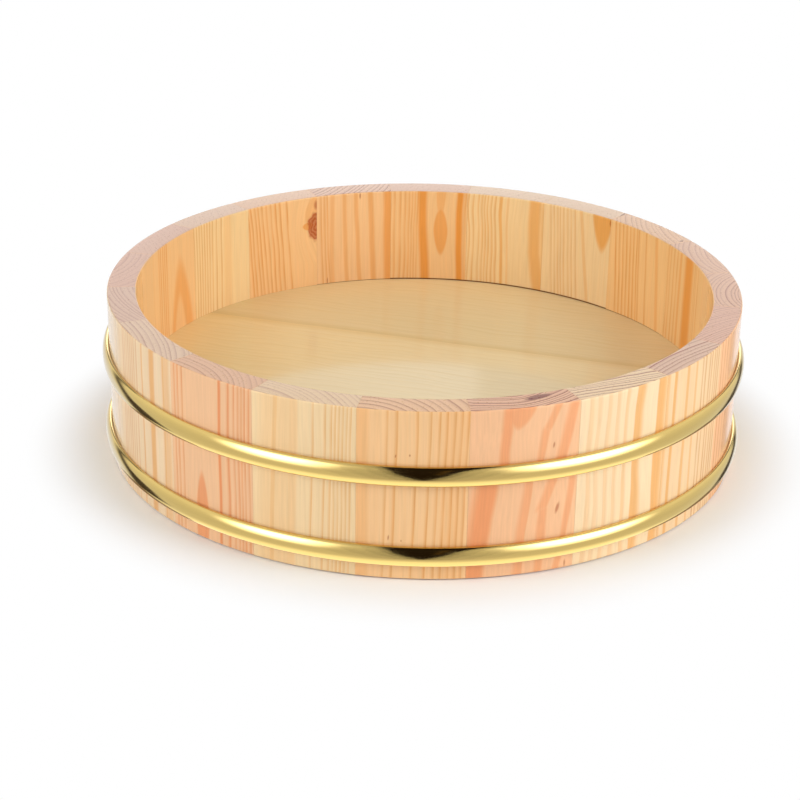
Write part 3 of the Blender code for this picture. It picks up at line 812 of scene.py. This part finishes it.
def stave_outline(gap):
    """Section of a stave: up the outside, over the rim, down past the base's groove, under the foot."""
    s = sizes()
    base_low, base_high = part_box("base_board_middle")
    groove_low = base_low[2] - s.joint_line
    groove_high = base_high[2] + gap
    groove_radius = base_radius() + s.joint_line
    return rounded((
        (outer_radius(0), 0, s.foot_round),
        (outer_radius(HEIGHT), HEIGHT, s.rim_round),
        (inner_radius(HEIGHT), HEIGHT, s.rim_round),
        (inner_radius(groove_high), groove_high, LIP_ROUND),
        (groove_radius, groove_high, 0),
        (groove_radius, groove_low, 0),
        (inner_radius(groove_low), groove_low, LIP_ROUND),
        (inner_radius(0), 0, s.foot_round),
    ))


def base_radius():
    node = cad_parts["base_board_middle"]
    return max(math.hypot(*vertex.co[:2]) for vertex in node.data.vertices)


def joint_angles():
    """Angles of the stave joints, from the pins that cross them, one more than there are staves."""
    angles = []
    for number in range(len(PLANKS)):
        low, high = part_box(f"stave_pin_{number + 1:02d}")
        angle = math.atan2(low[1] + high[1], low[0] + high[0])
        while angles and angle < angles[-1]:
            angle += math.tau
        angles.append(angle)
    return angles + [angles[0] + math.tau]


def stave_mesh(name, half_angle, gap):
    """A stave in its own frame: x to the right seen from outside, y into the tub, z up."""
    outline = subdivided(stave_outline(gap), LONGEST_SIDE)
    trim = sizes().joint_line / 2 / middle_radius()
    rows = []
    for step in range(STAVE_STEPS + 1):
        angle = (half_angle - trim) * (2 * step / STAVE_STEPS - 1)
        across, into = math.sin(angle), math.cos(angle)
        rows.append([(point.x * across, middle_radius() - point.x * into, point.y) for point in outline])
    return skin(name, rows)


def break_edges(piece, width):
    """Take the sharpness off a piece's edges and keep its broad faces flat to the eye."""
    bevel = piece.modifiers.new("broken_edges", "BEVEL")
    bevel.width = width
    bevel.segments = 2
    bevel.limit_method = "ANGLE"
    bevel.angle_limit = BROKEN_FROM
    flat = piece.modifiers.new("flat_faces", "WEIGHTED_NORMAL")
    flat.keep_sharp = True


class TUB_OT_staves(bpy.types.Operator):
    """Make the twenty staves of the wall, each with its own grain"""
    bl_idname = "rice_tub.staves"
    bl_label = "Staves"

    def execute(self, context):
        rings = growth_rings()
        angles = joint_angles()
        for number, plank in enumerate(PLANKS):
            node = f"stave_{number + 1:02d}"
            middle = (angles[number] + angles[number + 1]) / 2
            half = (angles[number + 1] - angles[number]) / 2
            gap = groove_gap(middle)
            wood = pine(number, plank, gap, rings)
            piece = link_piece(node + "_plank", stave_mesh(node, half, gap), wood)
            piece.location = (middle_radius() * math.cos(middle), middle_radius() * math.sin(middle), 0)
            piece.rotation_euler = (0, 0, middle + math.pi / 2)
            break_edges(piece, sizes().joint_round)
            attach(piece, "root")
            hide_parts(node)
        return {"FINISHED"}


# A board's curved side has this many steps at least, and its outline passes a pole of the disc, where the
# cosine is smaller than this, only once
BOARD_STEPS = 8
POLE = 1e-6

# Tints of the front, middle and back board, each at its left and its right end
BOARD_TINTS = (("#F8F0DE", "#FAF5EA"), ("#FDF5E1", "#FFFFFF"), ("#F1EBDB", "#F3F1EC"))


def board_outline(radius, low, high, turn):
    """Outline of the part of a disc between two levels across the turned grain, anticlockwise."""
    low_angle = math.asin(max(-1.0, low / radius))
    high_angle = math.asin(min(1.0, high / radius))
    steps = max(BOARD_STEPS, round((high_angle - low_angle) / BOARD_STEP))
    right = [low_angle + (high_angle - low_angle) * step / steps for step in range(steps + 1)]
    angles = right + [math.pi - angle for angle in reversed(right) if abs(math.cos(angle)) > POLE]
    return [(radius * math.cos(angle + turn), radius * math.sin(angle + turn)) for angle in angles]


class TUB_OT_base(bpy.types.Operator):
    """Make the three boards of the base"""
    bl_idname = "rice_tub.base"
    bl_label = "Base boards"

    def execute(self, context):
        rings = bpy.data.node_groups["growth_rings"]
        low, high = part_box("base_board_middle")
        radius = base_radius()
        pins = [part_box("base_pin_back_" + side) for side in ("right", "left")]
        pin, other = ([sum(corner[axis] for corner in box) / 2 for axis in (0, 1)] for box in pins)
        turn = math.atan2(pin[1] - other[1], pin[0] - other[0])
        joint = abs(pin[0] * math.sin(-turn) + pin[1] * math.cos(turn))
        half_gap = sizes().joint_line / 2
        levels = ((-radius, -joint - half_gap), (-joint + half_gap, joint - half_gap),
                  (joint + half_gap, radius))
        for number, (node, (near, far)) in enumerate(zip(BASE_BOARDS, levels)):
            outline = board_outline(radius, near, far, turn)
            mesh = skin(node, [[(x, y, z) for x, y in outline] for z in (low[2], high[2])])
            material = lacquered_base(f"lacquered_pine_{number + 1}", turn, joint, BOARD_TINTS[number],
                                      BASE_SEED_STEP * number + BASE_SEED, rings)
            piece = link_piece(node + "_plank", mesh, material)
            break_edges(piece, sizes().joint_line / 2)
            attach(piece, "root")
            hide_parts(node)
        return {"FINISHED"}


# 1 would make the hoop's section half an ellipse; less makes its shoulders fuller
HOOP_FULLNESS = 0.87


def hoop_outline(half, proud):
    """Section of a hoop, as (out from the wall, up from its middle): rolled edges and a hollow back."""
    s = sizes()
    edge = s.hoop_edge
    front = []
    for step in range(HOOP_EDGE_STEPS + 1):
        angle = math.pi * (1 - step / (2 * HOOP_EDGE_STEPS))
        front.append((edge + edge * math.cos(angle), half - edge + edge * math.sin(angle)))
    for step in range(1, HOOP_STEPS + 1):
        angle = math.pi / 2 * step / HOOP_STEPS
        front.append((edge + (proud - edge) * math.sin(angle) ** HOOP_FULLNESS,
                      half * math.cos(angle) ** HOOP_FULLNESS))
    front += [(out, -up) for out, up in reversed(front[:-1])]
    hollow = half - edge - s.hoop_sheet / 2
    back = []
    for step in range(HOOP_STEPS + 1):
        angle = math.pi * step / HOOP_STEPS
        back.append(((proud - s.hoop_sheet) * math.sin(angle), -hollow * math.cos(angle)))
    return front + back


class TUB_OT_hoops(bpy.types.Operator):
    """Make the two rolled brass hoops"""
    bl_idname = "rice_tub.hoops"
    bl_label = "Hoops"

    def execute(self, context):
        s = sizes()
        brass = polished_brass()
        for node in ("upper_hoop", "lower_hoop"):
            low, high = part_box(node)
            middle = (low[2] + high[2]) / 2
            proud = high[0] - outer_radius(middle) - s.hoop_fit
            outline = [(outer_radius(middle + up) + s.hoop_fit + out, middle + up)
                       for out, up in hoop_outline((high[2] - low[2]) / 2, proud)]
            rows = []
            for step in range(HOOP_AROUND):
                angle = math.tau * step / HOOP_AROUND
                rows.append([(r * math.cos(angle), r * math.sin(angle), z) for r, z in outline])
            piece = link_piece(node + "_band", skin(node, rows, ring=True), brass)
            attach(piece, "root")
            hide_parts(node)
        return {"FINISHED"}


class TUB_OT_pins(bpy.types.Operator):
    """Give the bamboo pins their finish"""
    bl_idname = "rice_tub.pins"
    bl_label = "Bamboo pins"

    def execute(self, context):
        bamboo = split_bamboo()
        for name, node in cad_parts.items():
            if "_pin_" in name:
                for holder in node.material_slots:
                    holder.material = bamboo
        return {"FINISHED"}


# Studio

# The camera stands this far from the middle of the tub, in front of it and up, and looks at the target
CAMERA_DISTANCE = 0.98341
CAMERA_ELEVATION = math.radians(22.7605)
CAMERA_ROLL = math.radians(1.0430)
CAMERA_LENS = 103.87
CAMERA_SENSOR = 36
CAMERA_TARGET = Vector((-0.00942, 0.0, 0.01619))

# The lamps, and their glow on the tent as mirrors see it
LAMP_DISTANCE = 1.1
LAMP_WIDE = 0.62
LAMP_TALL = 0.75
LAMP_ELEVATION = 27
GLOW_ELEVATION = 12
GLOW_TALL = 0.82

# Cloth behind the tub (name, left, right, low, high, brightness in mirrors)
BACK_DISTANCE = 0.62
BACK_CARDS = (
    ("low_cloth", -0.22, 0.22, 0.13, 0.255, 2.7),
    ("high_cloth", -0.14, 0.04, 0.262, 0.325, 1.1),
    ("dim_cloth", 0.04, 0.14, 0.262, 0.325, 0.55),
    ("left_cloth", -0.36, -0.19, 0.2, 0.325, 2.4),
    ("right_cloth", 0.19, 0.36, 0.2, 0.325, 2.4),
    ("top_cloth", -0.36, 0.36, 0.33, 0.47, 0.85),
)

# Brightness of the tent's cloth in mirrors, from straight below to straight above (sine of elevation,
# brightness)
TENT_LEVELS = ((-1.0, 1.65), (-0.75, 1.55), (-0.57, 0.9), (-0.37, 0.82), (0.0, 0.92), (0.5, 1.1),
               (0.87, 0.95), (1.0, 0.8))
TENT_RADIUS = 1.05

# The tent's shapes lie one before the other by the first step, the layers of one shape by the second for
# each degree that they are wider, and the bright sides this far behind
SHAPE_STEP = 0.02
LAYER_STEP = 0.0005
SIDE_BEHIND = 0.1

# Openings, seams and flaps of the tent, row by row (elevation, left edge, right edge), in degrees from the
# direction of the camera
CAMERA_SLIT = ((-26, 0, 2), (-15, -5, 7), (0, -8, 10), (15, -9, 12), (30, -11, 16), (45, -13, 21),
               (60, -18, 34), (70, -24, 55), (80, -40, 90), (88, -80, 120))
SLIT_FLAP = ((-2, 5, 6.5), (15, 6, 8), (40, 9, 12))
LEFT_SEAM = ((-31, -122, -102), (-22, -121, -105), (-14, -121, -116), (0, -122, -119), (15, -125, -122),
             (25, -131, -127), (35, -138, -130))
RIGHT_SEAM = ((-28, 128, 142), (-18, 133, 141), (-8, 135, 139), (5, 136, 139), (15, 138, 141))
LEFT_FLAP = ((20, -166, -143), (40, -166, -143))
RIGHT_FLAP = ((20, 143, 166), (40, 143, 166))
LEFT_HEM = ((-46, -150, -112), (-29, -152, -122))
RIGHT_HEM = ((-46, 112, 150), (-28, 124, 150))

# Name, shape, colour, and the layers that soften its edges (degrees wider, share of the light they take)
SLIT_EDGE = ((0, 1.0), (3, 0.3), (8, 0.15), (16, 0.12), (26, 0.1))
SEAM_EDGE = ((0, 0.85), (2, 0.4), (4, 0.3))
DARK_SHAPES = (
    ("camera_slit", CAMERA_SLIT, "#241A10", SLIT_EDGE),
    ("slit_flap", SLIT_FLAP, "#7A5E30", ((0, 0.6),)),
    ("left_seam", LEFT_SEAM, "#2E1C08", SEAM_EDGE),
    ("right_seam", RIGHT_SEAM, "#2E1C08", SEAM_EDGE),
    ("left_flap", LEFT_FLAP, "#70563A", SEAM_EDGE),
    ("right_flap", RIGHT_FLAP, "#70563A", SEAM_EDGE),
    ("left_hem", LEFT_HEM, "#8C7256", SEAM_EDGE),
    ("right_hem", RIGHT_HEM, "#8C7256", SEAM_EDGE),
)

# The table lies just under the tub, and its shadow fades between these distances from the tub's axis
TABLE_HEIGHT = -0.0005
TABLE_REACH = 12
SHADOW_FULL = 0.132
SHADOW_GONE = 0.17

# The tent's bright sides beyond the seams
LEFT_SIDE = ((-27, -168, -128), (10, -172, -130))
RIGHT_SIDE = ((-27, 143, 164), (10, 143, 168))
SIDE_LEVEL = 0.9


def white_room(strength):
    """The inside of a white light tent: plain white to the eye, softer as light, uneven in mirrors."""
    world = bpy.data.worlds.new("light_tent")
    bpy.context.scene.world = world
    world.use_nodes = True
    tree = world.node_tree
    tree.nodes.clear()
    path = add(tree, "LightPath").node.outputs
    way = add(tree, "TexCoord", out="Generated")
    height = add(tree, "SeparateXYZ", {0: way}, out="Z")
    share = add(tree, "MapRange", {"Value": height, 1: -1.0, 2: 1.0})
    ramp = add(tree, "ValToRGB", {0: share})
    brightest = max(level for sine, level in TENT_LEVELS)
    stops = ramp.node.color_ramp.elements
    while len(stops) < len(TENT_LEVELS):
        stops.new(0.5)
    for stop, (sine, level) in zip(stops, TENT_LEVELS):
        stop.position = (sine + 1) / 2
        stop.color = grey(level / brightest)
    cloth = add(tree, "Math", {0: ramp, 1: brightest}, operation="MULTIPLY")
    level = add(tree, "Mix", {0: path["Is Glossy Ray"], 2: strength, 3: cloth})
    level = add(tree, "Mix", {0: path["Is Camera Ray"], 2: level, 3: 1.0})
    white, warm = rgba(linear("#FFFFFF")), rgba(linear("#FFFBE4"))
    tint = add(tree, "Mix", {0: path["Is Glossy Ray"], 6: white, 7: warm}, 2, data_type="RGBA")
    light = add(tree, "Background", {"Color": tint, "Strength": level})
    tree.links.new(light, tree.nodes.new("ShaderNodeOutputWorld").inputs["Surface"])


def white_floor():
    """White table that keeps the shadow near the tub and runs into the white of the tent further out."""
    material, tree, surface = new_material("white_table")
    place = add(tree, "TexCoord", out="Object")
    away = add(tree, "VectorMath", {0: place}, out="Value", operation="LENGTH")
    fade = add(tree, "MapRange", {"Value": away, 1: SHADOW_FULL, 2: SHADOW_GONE},
               interpolation_type="SMOOTHSTEP")
    seen = add(tree, "LightPath", out="Is Camera Ray")
    seen = add(tree, "Math", {0: fade, 1: seen}, operation="MULTIPLY")
    matt = add(tree, "BsdfDiffuse", {"Color": rgba(linear("#F2F2F2"))})
    white = add(tree, "Emission", {"Color": (1, 1, 1, 1), "Strength": 1.0})
    tree.links.new(add(tree, "MixShader", {0: seen, 1: matt, 2: white}), surface)
    bm = bmesh.new()
    bmesh.ops.create_grid(bm, x_segments=4, y_segments=4, size=TABLE_REACH)
    floor = link_piece("table", mesh_from("table", bm), material)
    floor.location.z = TABLE_HEIGHT
    floor.visible_glossy = False


def mirror_card(name, rows, material):
    """A card, given as rows of corners, that only shows in mirrors and lights nothing."""
    bm = bmesh.new()
    corners = [[bm.verts.new(corner) for corner in row] for row in rows]
    for low, high in zip(corners, corners[1:]):
        bm.faces.new((*low, *reversed(high)))
    card = link_piece(name, mesh_from(name, bm), material)
    card.visible_camera = False
    card.visible_diffuse = False
    card.visible_shadow = False
    card.visible_transmission = False
    return card


def direction(azimuth, elevation):
    """Unit vector of a direction seen from the tub, in degrees to the right of the camera's and up."""
    a, e = math.radians(azimuth - 90), math.radians(elevation)
    return Vector((math.cos(a) * math.cos(e), math.sin(a) * math.cos(e), math.sin(e)))


def tent_shape(name, rows, away, tint, strength, share):
    """A part of the tent's cloth, or an opening in it, in the place of a share of the plain cloth."""
    material, tree, surface = new_material(name)
    light = add(tree, "Emission", {"Color": rgba(tint), "Strength": strength})
    clear = add(tree, "BsdfTransparent")
    tree.links.new(add(tree, "MixShader", {0: share, 1: clear, 2: light}), surface)
    corners = [(direction(left, up) * away, direction(right, up) * away) for up, left, right in rows]
    mirror_card(name, corners, material)


def tent_shapes():
    """The slit that the camera looks through, the tent's seams, shaded flaps and bright sides."""
    for order, (name, rows, tint, layers) in enumerate(DARK_SHAPES):
        for wider, share in layers:
            wide = [(up, left - wider, right + wider) for up, left, right in rows]
            away = TENT_RADIUS - SHAPE_STEP * order + LAYER_STEP * wider
            tent_shape(f"{name}_{wider}", wide, away, linear(tint), 1.0, share)
    for name, rows in (("left_side", LEFT_SIDE), ("right_side", RIGHT_SIDE)):
        tent_shape(name, rows, TENT_RADIUS + SIDE_BEHIND, (1, 1, 1), SIDE_LEVEL, 1.0)


def glowing_cloth(name, strength):
    """Tent cloth with a lamp behind it: brightest in the middle, fading to its sides."""
    material, tree, surface = new_material(name)
    place = add(tree, "TexCoord", out="Object")
    parts = add(tree, "SeparateXYZ", {0: place}).node.outputs
    glow = strength
    for part in (parts["X"], parts["Y"]):
        side = add(tree, "Math", {0: part}, operation="ABSOLUTE")
        fade = add(tree, "MapRange", {"Value": side, 1: 1.0, 2: 0.0}, interpolation_type="SMOOTHERSTEP")
        glow = add(tree, "Math", {0: fade, 1: glow}, operation="MULTIPLY")
    light = add(tree, "Emission", {"Color": (1, 1, 1, 1), "Strength": glow})
    clear = add(tree, "BsdfTransparent")
    tree.links.new(add(tree, "AddShader", {0: light, 1: clear}), surface)
    return material


def lamp(name, power, azimuth, glow_azimuth, glow_wide, glow):
    """A wide lamp that faces the tub, and its glow on the tent as mirrors see it."""
    light = bpy.data.lights.new(name, "AREA")
    light.shape = "RECTANGLE"
    light.size = LAMP_WIDE
    light.size_y = LAMP_TALL
    light.energy = power
    item = bpy.data.objects.new(name, light)
    bpy.context.scene.collection.objects.link(item)
    item.visible_glossy = False
    cloth = glowing_cloth(name + "_cloth", glow)
    card = mirror_card(name + "_glow", (((-1, -1, 0), (1, -1, 0)), ((-1, 1, 0), (1, 1, 0))), cloth)
    card.scale = (glow_wide, GLOW_TALL, 1)
    ways = (direction(azimuth, LAMP_ELEVATION), direction(glow_azimuth, GLOW_ELEVATION))
    for thing, way in zip((item, card), ways):
        thing.location = way * LAMP_DISTANCE + Vector((0, 0, HEIGHT / 2))
        thing.rotation_euler = way.to_track_quat("Z", "Y").to_euler()


def back_cards():
    """White cloth behind the tub that gives the far rim and the base their shine."""
    for name, left, right, low, high, level in BACK_CARDS:
        material, tree, surface = new_material(name + "_cloth")
        cloth = add(tree, "Emission", {"Color": (1, 1, 1, 1), "Strength": level})
        tree.links.new(cloth, surface)
        mirror_card(name, (((left, BACK_DISTANCE, low), (right, BACK_DISTANCE, low)),
                           ((left, BACK_DISTANCE, high), (right, BACK_DISTANCE, high))), material)


def place_camera():
    camera = bpy.data.cameras.new("camera")
    camera.lens = CAMERA_LENS
    camera.sensor_width = CAMERA_SENSOR
    item = bpy.data.objects.new("camera", camera)
    bpy.context.scene.collection.objects.link(item)
    e = CAMERA_ELEVATION
    item.location = (0, -CAMERA_DISTANCE * math.cos(e), CAMERA_DISTANCE * math.sin(e) + HEIGHT / 2)
    look = (CAMERA_TARGET - item.location).to_track_quat("-Z", "Y")
    item.rotation_mode = "QUATERNION"
    item.rotation_quaternion = look @ Quaternion((0, 0, 1), CAMERA_ROLL)
    bpy.context.scene.camera = item


class TUB_OT_stage(bpy.types.Operator):
    """Set up the white table, the light tent, the lamps and the camera"""
    bl_idname = "rice_tub.stage"
    bl_label = "Stage"

    def execute(self, context):
        light = context.scene.rice_tub_light
        context.scene.view_settings.view_transform = "Standard"
        white_room(light.sky)
        white_floor()
        tent_shapes()
        back_cards()
        lamp("right_lamp", light.right_power, azimuth=62, glow_azimuth=54, glow_wide=0.74, glow=5.5)
        lamp("left_lamp", light.left_power, azimuth=-62, glow_azimuth=-47, glow_wide=0.56, glow=4.5)
        place_camera()
        return {"FINISHED"}


class TUB_PT_panel(bpy.types.Panel):
    """The tub's pieces, sizes and colours"""
    bl_idname = "TUB_PT_panel"
    bl_label = "Rice Tub"
    bl_space_type = "VIEW_3D"
    bl_region_type = "UI"
    bl_category = "Rice Tub"

    def draw(self, context):
        column = self.layout.column()
        for operator in OPERATORS:
            column.operator(operator.bl_idname)
        for held in GROUPS:
            group = getattr(context.scene, held)
            for name in group.__annotations__:
                column.prop(group, name)


GROUPS = {"rice_tub_sizes": TubSizes, "rice_tub_colours": TubColours, "rice_tub_light": StudioLight}
OPERATORS = (TUB_OT_staves, TUB_OT_base, TUB_OT_hoops, TUB_OT_pins, TUB_OT_stage)


def register():
    for item in (*GROUPS.values(), *OPERATORS, TUB_PT_panel):
        bpy.utils.register_class(item)
    for name, group in GROUPS.items():
        setattr(bpy.types.Scene, name, PointerProperty(type=group))


def unregister():
    for name in GROUPS:
        delattr(bpy.types.Scene, name)
    for item in (TUB_PT_panel, *reversed(OPERATORS), *GROUPS.values()):
        bpy.utils.unregister_class(item)


def main():
    register()
    bpy.ops.rice_tub.staves()
    bpy.ops.rice_tub.base()
    bpy.ops.rice_tub.hoops()
    bpy.ops.rice_tub.pins()
    bpy.ops.rice_tub.stage()


if __name__ == "__main__":
    main()
